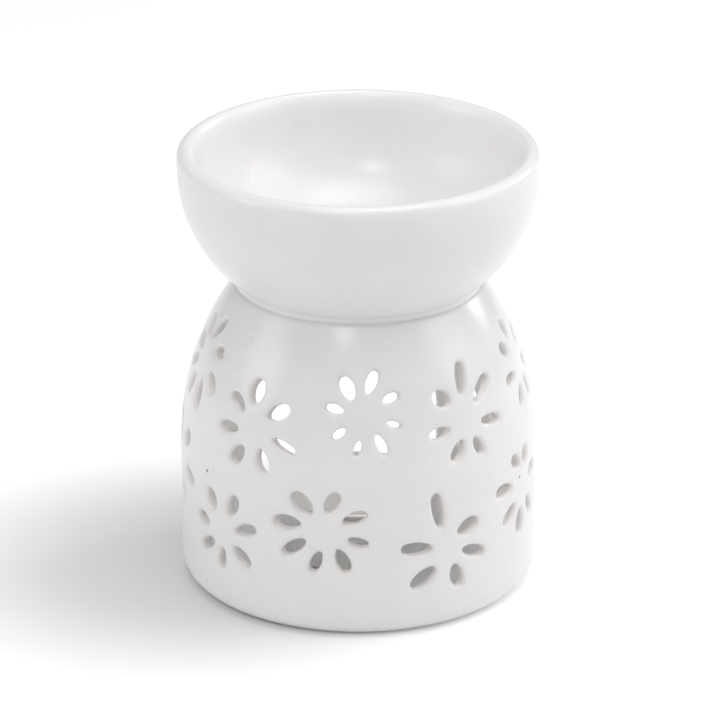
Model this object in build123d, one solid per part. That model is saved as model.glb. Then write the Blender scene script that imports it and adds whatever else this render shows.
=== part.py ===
from build123d import *
import math
import os

# Essential oil burner of white glazed earthenware, with a tealight under its bowl.
# The origin is the middle of the foot, on the surface that the burner stands on.
# +Z is up. The front is -Y and the doorway for the tealight is at the back, on +Y.
# Sizes are in millimetres and directions in degrees.

os.makedirs("parts", exist_ok=True)

# Pierced dome
wall_radius = 42.4
wall_thickness = 3.0
foot_round = 5.0
foot_ring_width = 4.0
foot_recess = 1.2
floor_height = 5.0
floor_corner = 3.0
shoulder_height = 34.0
rim_height = 74.6
waist_radius = 28.8

# Doorway at the back
door_width = 45.6
door_top = 49.0

# Cut-out flowers, in two rows round the dome
flower_radius = 10.0
upper_row_height = 55.0
lower_row_height = 25.0
cut_overrun = 1.5

# Bowl for water and oil
bowl_rise = 32.1
bowl_overhang = 0.1
bowl_floor = 4.8
lip_height = 4.6
lip_thickness = 4.2
lip_outer_round = 1.5
hollow_curve = 20.5

# Slip joint between the dome and the bowl
slip_thickness = 0.4
slip_inset = 0.4
slip_bead = 1.1

# Tealight
tealight_gap = 0.2
cup_base_radius = 18.3
cup_rim_radius = 19.0
cup_height = 16.0
cup_wall = 0.4
cup_corner = 1.2
cup_bead = 0.5
wax_level = 12.8
sustainer_radius = 6.0
sustainer_thickness = 0.4
ferrule_radius = 1.5
ferrule_height = 3.2
wick_radius = 0.8
wick_stand = 7.0

# A slip fillet in a square corner is pulled this far from its chord to the corner.
fillet_pull_share = 0.41

# A petal's tip and its root are round to these shares of half its width.
petal_tip_share = 0.8
petal_root_share = 0.5

# Each petal: place across and up from the middle of its flower, length and width, as
# shares of the flower's radius, and the way that its round tip points, in degrees.
slender_shares = (
    (-0.07, 0.78, 0.63, 0.26, 59),
    (0.44, 0.33, 0.48, 0.27, 8),
    (0.56, -0.40, 0.54, 0.28, -45),
    (0.09, -0.84, 0.66, 0.30, -86),
    (-0.50, -0.79, 0.56, 0.26, -112),
    (-0.84, -0.31, 0.50, 0.24, 205),
    (-0.83, 0.22, 0.52, 0.26, 160),
    (-0.64, 0.69, 0.52, 0.22, 115),
)
open_shares = (
    (-0.28, 0.80, 0.60, 0.38, 80),
    (0.42, 0.44, 0.61, 0.35, 32),
    (0.66, -0.32, 0.60, 0.21, -23),
    (0.13, -0.79, 0.57, 0.31, -71),
    (-0.60, -0.80, 0.57, 0.33, -127),
    (-0.97, -0.23, 0.60, 0.27, 189),
    (-0.81, 0.43, 0.54, 0.30, 145),
)
middle_shares = (
    (-0.44, 0.56, 0.58, 0.34, 114),
    (0.16, 0.70, 0.57, 0.27, 68),
    (0.61, 0.31, 0.39, 0.22, 20),
    (0.65, -0.31, 0.33, 0.15, -22),
    (0.34, -0.77, 0.53, 0.23, -64),
    (-0.19, -0.84, 0.36, 0.17, -105),
    (-0.61, -0.51, 0.37, 0.20, 221),
    (-0.73, 0.07, 0.43, 0.22, 166),
)
plume_shares = (
    (-0.55, 0.50, 0.48, 0.37, 143),
    (0.12, 0.85, 0.76, 0.26, 77),
    (0.70, 0.46, 0.76, 0.30, 39),
    (0.81, -0.33, 0.62, 0.24, -9),
    (0.32, -0.84, 0.50, 0.26, -64),
    (-0.28, -0.81, 0.54, 0.29, 233),
    (-0.72, -0.29, 0.50, 0.25, 190),
)
small_shares = (
    (-0.44, 0.43, 0.42, 0.30, 135),
    (0.09, 0.79, 0.45, 0.25, 92),
    (0.77, 0.43, 0.45, 0.26, 35),
    (0.74, -0.27, 0.48, 0.24, -18),
    (0.27, -0.76, 0.49, 0.23, -78),
    (-0.30, -0.80, 0.48, 0.24, -117),
    (-0.60, -0.25, 0.50, 0.22, 188),
)
tall_shares = (
    (-0.33, 0.80, 0.75, 0.30, 100),
    (0.40, 0.65, 0.54, 0.30, 50),
    (0.60, -0.24, 0.58, 0.30, -12),
    (0.02, -0.85, 0.56, 0.28, -80),
    (-0.64, -0.65, 0.54, 0.26, 227),
    (-0.88, 0.03, 0.52, 0.26, 175),
)
broad_shares = (
    (-0.50, 0.62, 0.52, 0.36, 110),
    (0.26, 0.68, 0.60, 0.31, 64),
    (0.67, 0.18, 0.64, 0.28, 19),
    (0.55, -0.53, 0.59, 0.32, -36),
    (-0.12, -0.77, 0.53, 0.25, -98),
    (-0.70, -0.58, 0.63, 0.27, 212),
    (-0.88, 0.00, 0.50, 0.30, 178),
)
full_shares = (
    (-0.51, 0.58, 0.66, 0.40, 132),
    (0.21, 0.66, 0.57, 0.32, 62),
    (0.74, 0.29, 0.60, 0.30, 24),
    (0.82, -0.32, 0.49, 0.24, -16),
    (0.46, -0.80, 0.62, 0.32, -68),
    (-0.18, -0.86, 0.56, 0.26, -111),
    (-0.72, -0.54, 0.68, 0.30, 217),
    (-0.90, 0.05, 0.67, 0.36, 180),
)
windmill_shares = (
    (-0.19, 0.97, 0.90, 0.28, 100),
    (0.65, 0.39, 0.61, 0.37, 20),
    (0.83, -0.28, 0.68, 0.28, -20),
    (0.34, -0.79, 0.60, 0.35, -73),
    (-0.55, -0.68, 0.73, 0.37, 216),
    (-0.73, 0.08, 0.75, 0.33, 176),
)
heart_shares = (
    (-0.16, 0.70, 0.47, 0.28, 141),
    (0.32, 0.71, 0.42, 0.25, 85),
    (0.86, 0.15, 0.50, 0.28, 10),
    (0.68, -0.68, 0.56, 0.28, -53),
    (0.06, -0.89, 0.62, 0.32, -98),
    (-0.46, -0.55, 0.60, 0.28, 217),
    (-0.70, 0.16, 0.60, 0.29, 178),
)

# Each flower: direction round the dome from the front towards +X, its height above its
# row as a share of the flower's radius, and its petals.
upper_flower_shares = (
    (-149, 0.10, small_shares),
    (-114, -0.10, plume_shares),
    (-76.5, 0.36, slender_shares),
    (-40, -0.51, open_shares),
    (-3.2, 0.09, middle_shares),
    (32.5, -0.27, plume_shares),
    (70.4, 0.21, small_shares),
    (107, -0.30, open_shares),
    (145, 0.15, slender_shares),
)
lower_flower_shares = (
    (-121, -0.25, broad_shares),
    (-84.9, 0.65, tall_shares),
    (-53.8, -0.34, broad_shares),
    (-16.9, 0.27, full_shares),
    (23, -0.40, windmill_shares),
    (58.2, 0.34, heart_shares),
    (92, -0.30, full_shares),
    (126, 0.00, broad_shares),
)


def upright_curve(width, height):
    """Radius of an arc that starts upright and draws in by a width over a height."""
    return (width**2 + height**2) / (2 * width)


# Heights of the bowl, and the round stretches of the dome's and the bowl's outlines
bowl_base_height = rim_height + slip_thickness
bowl_height = bowl_base_height + bowl_rise
bowl_widest_height = bowl_height - lip_height
bowl_radius = wall_radius + bowl_overhang
shoulder_radius = upright_curve(wall_radius - waist_radius, rim_height - shoulder_height)
bowl_curve = upright_curve(bowl_radius - waist_radius, bowl_widest_height - bowl_base_height)
shoulder_middle = wall_radius - shoulder_radius
bowl_middle = bowl_radius - bowl_curve
inner_wall_radius = wall_radius - wall_thickness
hollow_radius = bowl_radius - lip_thickness
hollow_middle = hollow_radius - hollow_curve
hollow_floor_height = bowl_base_height + bowl_floor
hollow_turn_height = hollow_floor_height + hollow_curve


def arc_radius(middle, curve, rise):
    """Distance from the axis of a point on an arc, by its height over the arc's middle."""
    return middle + math.sqrt(curve**2 - rise**2)


def dome_radius(height):
    """Outside radius of the dome at a height above the foot's rounding."""
    rise = max(height - shoulder_height, 0)
    return arc_radius(shoulder_middle, shoulder_radius, rise)


def arc_between(start, end, middle, curve):
    """Round stretch of an outline between two of its points, about a middle."""
    first = math.atan2(start[1] - middle[1], start[0] - middle[0])
    last = math.atan2(end[1] - middle[1], end[0] - middle[0])
    half = (first + last) / 2
    along = (middle[0] + curve * math.cos(half), middle[1] + curve * math.sin(half))
    return ThreePointArc(start, along, end)


def turned(outline):
    """Solid made by turning an outline of radius and height once round the axis."""
    return revolve(make_face(Plane.XZ * outline), Axis.Z)


def dome_body():
    """Dome without its openings: foot ring, floor, wall and shoulder in one casting."""
    foot_radius = wall_radius - foot_round
    ring_radius = foot_radius - foot_ring_width
    recess_radius = ring_radius - foot_recess
    inner_curve = shoulder_radius - wall_thickness
    rim_inner = arc_radius(shoulder_middle, inner_curve, rim_height - shoulder_height)
    corner_radius = inner_wall_radius - floor_corner
    corner_height = floor_height + floor_corner
    shoulder = (shoulder_middle, shoulder_height)
    outline = Polyline(
        (0, foot_recess), (recess_radius, foot_recess), (ring_radius, 0), (foot_radius, 0)
    )
    outline += arc_between((foot_radius, 0), (wall_radius, foot_round), (foot_radius, foot_round), foot_round)
    outline += Line((wall_radius, foot_round), (wall_radius, shoulder_height))
    outline += arc_between(
        (wall_radius, shoulder_height), (waist_radius, rim_height), shoulder, shoulder_radius
    )
    outline += Line((waist_radius, rim_height), (rim_inner, rim_height))
    inner_shoulder = (inner_wall_radius, shoulder_height)
    inner_corner = (inner_wall_radius, corner_height)
    outline += arc_between((rim_inner, rim_height), inner_shoulder, shoulder, inner_curve)
    outline += Line(inner_shoulder, inner_corner)
    outline += arc_between(
        inner_corner, (corner_radius, floor_height), (corner_radius, corner_height), floor_corner
    )
    outline += Polyline((corner_radius, floor_height), (0, floor_height), (0, foot_recess))
    return turned(outline)


def doorway():
    """Round-topped opening at the back, with its sill level with the dome's floor."""
    half = door_width / 2
    spring = door_top - half
    outline = Polyline((-half, spring), (-half, floor_height), (half, floor_height), (half, spring))
    outline += ThreePointArc((half, spring), (0, door_top), (-half, spring))
    return extrude(make_face(Plane.XZ * outline), wall_radius + cut_overrun, dir=(0, 1, 0))


def climbed(height, distance):
    """Height after going up the dome's outside by a distance along its surface."""
    rise = max(height - shoulder_height, 0)
    along = min(height - shoulder_height, 0) + shoulder_radius * math.asin(rise / shoulder_radius) + distance
    if along < 0:
        return shoulder_height + along
    return shoulder_height + shoulder_radius * math.sin(along / shoulder_radius)


def petal_outline(length, width):
    """Petal on the flat: a round tip towards +X, a smaller round root and two bowed sides."""
    half = width / 2
    tip = petal_tip_share * half
    root = petal_root_share * half
    between = length - tip - root
    taper = tip - root
    tip_middle = length / 2 - tip
    root_middle = root - length / 2
    # The sides' radius is the one whose arc touches both rounds and is widest at half the width.
    reach = between * math.sqrt(half - root) - math.sqrt((half - tip) * (between**2 - taper**2))
    stretch = reach / taper
    bow = (stretch**2 + root + half) / 2
    widest = root_middle + stretch * math.sqrt(half - root)
    tip_turn = math.atan2(bow - half, tip_middle - widest)
    root_turn = math.atan2(bow - half, root_middle - widest)
    tip_x = tip_middle + tip * math.cos(tip_turn)
    tip_y = tip * math.sin(tip_turn)
    root_x = root_middle + root * math.cos(root_turn)
    root_y = root * math.sin(root_turn)
    outline = ThreePointArc((tip_x, -tip_y), (length / 2, 0), (tip_x, tip_y))
    outline += ThreePointArc((tip_x, tip_y), (widest, half), (root_x, root_y))
    outline += ThreePointArc((root_x, root_y), (-length / 2, 0), (root_x, -root_y))
    outline += ThreePointArc((root_x, -root_y), (widest, -half), (tip_x, -tip_y))
    return make_face(outline)


def petal_cutter(direction, height, petal_shares):
    """Blade's path for one petal, square to the dome's surface at the petal's middle."""
    across, up, length, width, points_to = petal_shares
    turn = math.radians(direction) + flower_radius * across / dome_radius(height)
    petal_height = climbed(height, flower_radius * up)
    radius = dome_radius(petal_height)
    lean = math.asin(max(petal_height - shoulder_height, 0) / shoulder_radius)
    outwards = Vector(math.sin(turn) * math.cos(lean), -math.cos(turn) * math.cos(lean), math.sin(lean))
    middle = Vector(radius * math.sin(turn), -radius * math.cos(turn), petal_height)
    blade = Plane(
        origin=middle + outwards * cut_overrun,
        x_dir=(math.cos(turn), math.sin(turn), 0),
        z_dir=outwards,
    )
    outline = Rot(0, 0, points_to) * petal_outline(flower_radius * length, flower_radius * width)
    return extrude(blade * outline, -(wall_thickness + 2 * cut_overrun))


def flower_cutters():
    """All the petals of both rows."""
    cutters = []
    rows = ((upper_row_height, upper_flower_shares), (lower_row_height, lower_flower_shares))
    for row_height, flowers in rows:
        for direction, lift, petals in flowers:
            height = row_height + flower_radius * lift
            cutters += [petal_cutter(direction, height, petal) for petal in petals]
    return cutters


def pierced_dome():
    """Dome with the doorway and every petal cut through its wall."""
    return dome_body().cut(doorway(), *flower_cutters())


def oil_bowl():
    """Bowl with a flat base, a round side, a rounded lip and a round hollow."""
    lip_inner_round = lip_thickness - lip_outer_round
    crest_radius = bowl_radius - lip_outer_round
    outer_turn = bowl_height - lip_outer_round
    inner_turn = bowl_height - lip_inner_round
    outline = Line((0, bowl_base_height), (waist_radius, bowl_base_height))
    outline += arc_between(
        (waist_radius, bowl_base_height),
        (bowl_radius, bowl_widest_height),
        (bowl_middle, bowl_widest_height),
        bowl_curve,
    )
    outline += Line((bowl_radius, bowl_widest_height), (bowl_radius, outer_turn))
    outline += arc_between(
        (bowl_radius, outer_turn), (crest_radius, bowl_height), (crest_radius, outer_turn), lip_outer_round
    )
    outline += arc_between(
        (crest_radius, bowl_height), (hollow_radius, inner_turn), (crest_radius, inner_turn), lip_inner_round
    )
    outline += Line((hollow_radius, inner_turn), (hollow_radius, hollow_turn_height))
    outline += arc_between(
        (hollow_radius, hollow_turn_height),
        (hollow_middle, hollow_floor_height),
        (hollow_middle, hollow_turn_height),
        hollow_curve,
    )
    outline += Polyline((hollow_middle, hollow_floor_height), (0, hollow_floor_height), (0, bowl_base_height))
    return turned(outline)


def slip_joint():
    """Ring of slip that holds the bowl on the dome's rim, with a bead round the outside."""
    inner_curve = shoulder_radius - wall_thickness
    inner = arc_radius(shoulder_middle, inner_curve, rim_height - shoulder_height) + slip_inset
    up_angle = math.asin((bowl_base_height - bowl_widest_height) / bowl_curve) + slip_bead / bowl_curve
    upper = (
        bowl_middle + bowl_curve * math.cos(up_angle),
        bowl_widest_height + bowl_curve * math.sin(up_angle),
    )
    down_angle = math.asin((rim_height - shoulder_height) / shoulder_radius) - slip_bead / shoulder_radius
    lower = (
        shoulder_middle + shoulder_radius * math.cos(down_angle),
        shoulder_height + shoulder_radius * math.sin(down_angle),
    )
    chord = ((upper[0] + lower[0]) / 2, (upper[1] + lower[1]) / 2)
    corner = (waist_radius, (rim_height + bowl_base_height) / 2)
    hollow = (
        chord[0] + fillet_pull_share * (corner[0] - chord[0]),
        chord[1] + fillet_pull_share * (corner[1] - chord[1]),
    )
    bowl_corner = (waist_radius, bowl_base_height)
    rim_corner = (waist_radius, rim_height)
    outline = Line((inner, bowl_base_height), bowl_corner)
    outline += arc_between(bowl_corner, upper, (bowl_middle, bowl_widest_height), bowl_curve)
    outline += ThreePointArc(upper, hollow, lower)
    outline += arc_between(lower, rim_corner, (shoulder_middle, shoulder_height), shoulder_radius)
    outline += Polyline(rim_corner, (inner, rim_height), (inner, bowl_base_height))
    return turned(outline)


cup_base_height = floor_height + tealight_gap
cup_floor_height = cup_base_height + cup_wall
wax_top_height = cup_base_height + wax_level


def cup_radius(height):
    """Outside radius of the cup's slightly flared wall."""
    share = (height - cup_base_height) / cup_height
    return cup_base_radius + (cup_rim_radius - cup_base_radius) * share


def tealight_cup():
    """Thin metal cup with a rounded base edge and a rolled rim."""
    top = cup_base_height + cup_height
    bead_height = top - cup_bead
    wall_foot = cup_base_height + cup_corner
    inner_corner = cup_corner - cup_wall
    outer_wall = cup_radius(bead_height)
    inner_foot = cup_radius(wall_foot) - cup_wall
    outline = Line((0, cup_base_height), (cup_base_radius - cup_corner, cup_base_height))
    outline += TangentArc(
        (cup_base_radius - cup_corner, cup_base_height), (cup_radius(wall_foot), wall_foot), tangent=(1, 0)
    )
    outline += Line((cup_radius(wall_foot), wall_foot), (outer_wall, bead_height - cup_bead))
    outline += ThreePointArc(
        (outer_wall, bead_height - cup_bead), (outer_wall + cup_bead, bead_height), (outer_wall, top)
    )
    outline += Polyline(
        (outer_wall, top),
        (outer_wall - cup_wall, top),
        (outer_wall - cup_wall, bead_height),
        (inner_foot, wall_foot),
    )
    floor_edge = (inner_foot - inner_corner, cup_floor_height)
    outline += TangentArc(floor_edge, (inner_foot, wall_foot), tangent=(1, 0))
    outline += Polyline(floor_edge, (0, cup_floor_height), (0, cup_base_height))
    return turned(outline)


def wick_sustainer():
    """Metal disc on the cup's floor with a ferrule that grips the wick's foot."""
    disc_top = cup_floor_height + sustainer_thickness
    ferrule_top = cup_floor_height + ferrule_height
    outline = Polyline(
        (wick_radius, cup_floor_height),
        (sustainer_radius, cup_floor_height),
        (sustainer_radius, disc_top),
        (ferrule_radius, disc_top),
        (ferrule_radius, ferrule_top),
        (wick_radius, ferrule_top),
        (wick_radius, cup_floor_height),
    )
    return turned(outline)


def tealight_wick():
    """Round wick from the cup's floor through the ferrule and the wax."""
    height = wax_top_height + wick_stand - cup_floor_height
    return Pos(0, 0, cup_floor_height + height / 2) * Cylinder(wick_radius, height)


def tealight_wax():
    """Wax that fills the cup round the wick and its sustainer."""
    wall_foot = cup_base_height + cup_corner
    inner_foot = cup_radius(wall_foot) - cup_wall
    inner_top = cup_radius(wax_top_height) - cup_wall
    floor_edge = (inner_foot - cup_corner + cup_wall, cup_floor_height)
    outline = Line((0, cup_floor_height), floor_edge)
    outline += TangentArc(floor_edge, (inner_foot, wall_foot), tangent=(1, 0))
    outline += Polyline(
        (inner_foot, wall_foot),
        (inner_top, wax_top_height),
        (0, wax_top_height),
        (0, cup_floor_height),
    )
    return turned(outline).cut(wick_sustainer(), tealight_wick())


pieces = {
    "pierced_dome": pierced_dome(),
    "oil_bowl": oil_bowl(),
    "slip_joint": slip_joint(),
    "tealight_cup": tealight_cup(),
    "tealight_wax": tealight_wax(),
    "wick_sustainer": wick_sustainer(),
    "tealight_wick": tealight_wick(),
}
for name, piece in pieces.items():
    export_step(piece, f"parts/{name}.step")
    print(name, "volume", round(piece.volume, 1), "faces", len(piece.faces()), "solids", len(piece.solids()))
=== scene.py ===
# %% [markdown]
# # A pierced oil burner of white glazed earthenware
#
# A potter casts the dome and the bowl of this burner by themselves, cuts the flowers with a
# small blade while the clay is soft, lutes the bowl on with slip and fires it all under one
# satin glaze. A tealight goes in through the doorway at the back and warms the bowl.
#
# The measured solids are already there, each in its place. This lesson keeps them as a
# frame and builds what the eye sees round them: the lips that the glaze rounds off, the
# soft sheen, the foil cup with its wax and wick, and the light of a white studio.

# %% Load the measured solids
import math

import bmesh
import bpy
import numpy as np
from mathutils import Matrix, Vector
from mathutils.geometry import delaunay_2d_cdt


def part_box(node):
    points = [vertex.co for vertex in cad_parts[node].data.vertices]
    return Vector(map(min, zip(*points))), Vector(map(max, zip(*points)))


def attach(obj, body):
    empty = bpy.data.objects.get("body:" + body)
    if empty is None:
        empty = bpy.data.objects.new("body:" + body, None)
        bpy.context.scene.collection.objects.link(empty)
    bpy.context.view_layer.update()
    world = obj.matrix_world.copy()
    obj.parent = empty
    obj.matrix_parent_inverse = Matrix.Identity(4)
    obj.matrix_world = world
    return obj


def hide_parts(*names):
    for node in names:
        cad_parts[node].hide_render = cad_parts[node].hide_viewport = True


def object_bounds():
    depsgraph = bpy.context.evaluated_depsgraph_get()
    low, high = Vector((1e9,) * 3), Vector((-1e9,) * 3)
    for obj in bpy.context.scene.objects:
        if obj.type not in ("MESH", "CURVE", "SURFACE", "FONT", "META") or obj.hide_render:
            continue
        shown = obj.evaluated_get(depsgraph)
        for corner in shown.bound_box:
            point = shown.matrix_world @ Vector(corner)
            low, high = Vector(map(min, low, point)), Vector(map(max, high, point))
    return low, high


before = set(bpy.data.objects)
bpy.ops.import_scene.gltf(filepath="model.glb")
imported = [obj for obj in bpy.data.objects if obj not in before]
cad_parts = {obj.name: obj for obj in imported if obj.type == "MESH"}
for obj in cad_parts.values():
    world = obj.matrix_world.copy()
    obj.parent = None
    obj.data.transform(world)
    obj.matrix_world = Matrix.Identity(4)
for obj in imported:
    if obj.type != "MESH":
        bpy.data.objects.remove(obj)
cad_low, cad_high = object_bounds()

mm = 0.001
scene = bpy.context.scene
print("solids", sorted(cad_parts))
print("burner", [round(size / mm, 1) for size in cad_high - cad_low], "mm")

# %% [markdown]
# ## Where the camera stands
#
# The rim of the bowl looks like an ellipse two fifths as tall as it is wide, so the camera
# looks down by about 22 degrees. The far side of the burner is hardly smaller than the near
# side, which tells of a long lens from about a metre away. A camera could be placed by eye,
# but here it is worked out from that angle, that distance and the point it looks at, so
# that each can be changed by itself.

# %% Place the camera
camera_direction = -5.75
camera_pitch = 22.39
camera_distance = 1087 * mm
focal_length = 228.45
sideways_shift = 0.0024
aim = Vector((0, 0, 53.1 * mm))


def seen_from(direction, elevation):
    """Unit vector to a place round the burner, in degrees from the front towards +X and up."""
    turn, rise = math.radians(direction), math.radians(elevation)
    flat = math.cos(rise)
    return Vector((math.sin(turn) * flat, -math.cos(turn) * flat, math.sin(rise)))


away = seen_from(camera_direction, camera_pitch)
lens = bpy.data.cameras.new("long_lens")
lens.lens = focal_length
lens.shift_x = sideways_shift
camera = bpy.data.objects.new("camera", lens)
camera.location = aim + away * camera_distance
camera.rotation_mode = "QUATERNION"
camera.rotation_quaternion = (-away).to_track_quat("-Z", "Y")
scene.collection.objects.link(camera)
scene.camera = camera
print("camera at", [round(place, 3) for place in camera.location], "m")

# %% [markdown]
# ## Shader maths as plain expressions
#
# A finish is a small sum: so much colour where the glaze is thin, so much roughness where
# it has pooled. Wired by hand that is a web of Math nodes that nobody can read. A class
# that wraps a socket and overloads plus, minus and times lets the sum be written as one
# line, and each operator adds the node that it stands for. A second class holds the node
# tree itself and adds every other kind of node in one way.

# %% Wrap a socket
class Level:
    """A number that changes over a surface. Sums on it add Math nodes."""

    def __init__(self, nodes, socket):
        self.nodes = nodes
        self.socket = socket

    def __add__(self, other):
        return self.nodes.maths("ADD", self, other)

    __radd__ = __add__

    def __sub__(self, other):
        return self.nodes.maths("SUBTRACT", self, other)

    def __rsub__(self, other):
        return self.nodes.maths("SUBTRACT", other, self)

    def __mul__(self, other):
        return self.nodes.maths("MULTIPLY", self, other)

    __rmul__ = __mul__

    def between(self, low, high):
        """0 below low, 1 above high and a smooth step from one to the other."""
        settings = {"interpolation_type": "SMOOTHSTEP"}
        return self.nodes.node("ShaderNodeMapRange", settings, {0: self, 1: low, 2: high})


# %% Hold a node tree
class Nodes:
    """The node tree of a material or of the world."""

    def __init__(self, owner):
        owner.use_nodes = True
        self.tree = owner.node_tree

    def feed(self, socket, value):
        if isinstance(value, Level):
            self.tree.links.new(value.socket, socket)
        else:
            socket.default_value = value

    def node(self, kind, settings, inputs, output=0):
        """Adds a node and gives one of its outputs, or nothing if it has none."""
        made = self.tree.nodes.new(kind)
        for name, value in settings.items():
            setattr(made, name, value)
        for name, value in inputs.items():
            self.feed(made.inputs[name], value)
        return Level(self, made.outputs[output]) if made.outputs else None

    def maths(self, operation, first, second):
        return self.node("ShaderNodeMath", {"operation": operation}, {0: first, 1: second})

    def choose(self, kind, factor, first, second):
        """Ends a material or the world with one of two shaders, by a factor."""
        chosen = self.node("ShaderNodeMixShader", {}, {0: factor, 1: first, 2: second})
        self.node("ShaderNodeOutput" + kind, {}, {"Surface": chosen})

    def where(self):
        return self.node("ShaderNodeTexCoord", {}, {}, "Object")

    def apart(self, place):
        """Distance from a place, in metres."""
        settings = {"operation": "DISTANCE"}
        return self.node("ShaderNodeVectorMath", settings, {0: self.where(), 1: place}, "Value")


# %% Wrap a finish
class Finish(Nodes):
    """The nodes of one material, with a Principled shader at their end."""

    def __init__(self, name, constants):
        self.material = bpy.data.materials.new(name)
        super().__init__(self.material)
        self.shader = self.tree.nodes["Principled BSDF"]
        for socket, value in constants.items():
            self.shader.inputs[socket].default_value = value

    def mix(self, factor, first, second):
        """Colour from first to second by a factor."""
        inputs = {0: factor, 6: first, 7: second}
        return self.node("ShaderNodeMix", {"data_type": "RGBA"}, inputs, 2)

    def noise(self, size, detail, stretch=None):
        """Soft cloudy noise whose blotches are about this size, or longer along an axis."""
        where = self.where()
        if stretch:
            where = self.node("ShaderNodeMapping", {}, {"Vector": where, "Scale": stretch})
        inputs = {"Vector": where, "Scale": 1 / size, "Detail": detail}
        return self.node("ShaderNodeTexNoise", {}, inputs)

    def attribute(self, name):
        return self.node("ShaderNodeAttribute", {"attribute_name": name}, {}, "Fac")

    def height(self):
        """Height over the foot, in millimetres."""
        return self.node("ShaderNodeSeparateXYZ", {}, {"Vector": self.where()}, "Z") * (1 / mm)

    def bump(self, height):
        """Normal of a relief whose height is given in millimetres."""
        return self.node("ShaderNodeBump", {}, {"Distance": mm, "Height": height})

    def end(self, **surface):
        for name, value in surface.items():
            self.feed(self.shader.inputs[name.replace("_", " ")], value)
        return self.material


def colour(red, green, blue):
    return (red, green, blue, 1)


# %% [markdown]
# ## The satin glaze
#
# The glaze is an opaque white with a soft sheen, the same on dome, bowl and slip. It is
# never one flat white: it draws back from every cut edge, where the warm clay shines
# through a little, and elsewhere it lies a little thicker in cloudy patches, which look
# cooler. A painted mask could say where a cut is near, but each vertex of the dome will
# know how far it is from the nearest cut, so the mesh itself carries that distance and the
# finish reads it. The fired clay lets a little light through a thin wall, which a
# subsurface weight stands for. The foot is wiped clean before the firing, so its ring is
# bare clay, and two bubbles in the glaze of the wall have burst and left pinpricks.
# The pits are only a bump, so their dark colour is painted shade.

# %% Mix the glaze
glaze_white = colour(0.922, 0.911, 0.900)
glaze_cool = colour(0.894, 0.894, 0.902)
thin_warm = colour(0.86, 0.81, 0.75)
bare_clay = colour(0.72, 0.66, 0.57)
# The pinpricks' colour is painted shade, since the pits are only a bump.
pinprick_painted_shade = colour(0.30, 0.29, 0.28)

# Sizes in the glaze, in millimetres: how far it thins from a cut, how high the foot is
# wiped, the depth of a pinprick, and the height of its slow drift, its clouds and its grain.
thin_from, thin_to = 0.25, 1.9
wiped_from, wiped_to = 0.2, 0.7
pinprick_depth = 0.25
drift_relief, cloud_relief, grain_relief = 0.16, 0.03, 0.0016
drift_size, cloud_size, grain_size = 38 * mm, 14 * mm, 1.1 * mm
cloudy = (0.35, 0.7)
translucent = {
    "Subsurface Weight": 0.65,
    "Subsurface Scale": 2.6 * mm,
    "Subsurface Radius": (1.0, 0.95, 0.9),
}
pinprick_radius = 0.55
pinprick_floor = pinprick_radius * 0.4
pinpricks = ((-37.6, -19.6, 34.6), (36.0, -22.5, 31.0))


def satin_glaze(name, edge_share, body_light):
    """White satin glaze that thins to a warm tone within a few millimetres of a cut."""
    finish = Finish(name, {"IOR": 1.5, "Coat Roughness": 0.18} | body_light)
    clouds = finish.noise(cloud_size, detail=2)
    drift = finish.noise(drift_size, detail=1)
    grain = finish.noise(grain_size, detail=3)
    from_cut = finish.attribute("from_cut")
    thin = (1 - from_cut.between(thin_from, thin_to)) * edge_share
    body = finish.mix(clouds.between(*cloudy), glaze_white, glaze_cool)
    glazed = finish.mix(thin, body, thin_warm)
    bare = 1 - finish.height().between(wiped_from, wiped_to)
    # Mask of the pinpricks: it sinks the bump and paints shade into the colour there.
    pricked_and_shaded = 0
    for place in pinpricks:
        away_from_it = finish.apart([along * mm for along in place]) * (1 / mm)
        pricked_and_shaded = pricked_and_shaded + (1 - away_from_it.between(pinprick_floor, pinprick_radius))
    relief = drift * drift_relief + clouds * cloud_relief + grain * grain_relief
    relief = relief - pricked_and_shaded * pinprick_depth
    return finish.end(
        # The pinpricks take a painted shade colour.
        Base_Color=finish.mix(pricked_and_shaded, finish.mix(bare, glazed, bare_clay), pinprick_painted_shade),
        Roughness=0.25 + clouds * 0.08 + thin * 0.12 + bare * 0.4,
        Coat_Weight=0.3 - bare * 0.3,
        Normal=finish.bump(relief),
    )


dome_glaze = satin_glaze("glaze_on_dome", 0.30, translucent)
bowl_glaze = satin_glaze("glaze_on_bowl", 0.30, translucent)
slip_glaze = satin_glaze("glaze_on_slip", 0.10, {})
print("glazes", [glaze.name for glaze in (dome_glaze, bowl_glaze, slip_glaze)])

# %% [markdown]
# ## The wall of the dome
#
# Both faces of the wall rise the same way: a round corner, an upright stretch and a long
# curve over the shoulder. A point on a face is known by its direction round the dome and
# by how far it lies up the face. A class holds the sizes of one face and turns those two
# numbers into a place and back, so the same code cuts the outside and the inside.

# %% Measure the wall
dome_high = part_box("pierced_dome")[1]
wall_radius = dome_high.x
wall_thickness = 3.0 * mm
foot_round = 5.0 * mm
foot_ring_width = 4.0 * mm
foot_recess = 1.2 * mm
floor_height = 5.0 * mm
floor_corner = 3.0 * mm
shoulder_height = 34.0 * mm
rim_height = dome_high.z
waist_radius = 28.8 * mm
quarter_turn = math.pi / 2


def upright_curve(width, height):
    """Radius of an arc that starts upright and draws in by a width over a height."""
    return (width**2 + height**2) / (2 * width)


shoulder_radius = upright_curve(wall_radius - waist_radius, rim_height - shoulder_height)
shoulder_middle = wall_radius - shoulder_radius
print("shoulder's radius", round(shoulder_radius / mm, 1), "mm")


# %% Describe the two faces of the wall
def round_axis(direction, out, height):
    """Places round the burner's axis, with directions counted from the front towards +X."""
    return np.stack((out * np.sin(direction), -out * np.cos(direction), height), -1)


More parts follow.
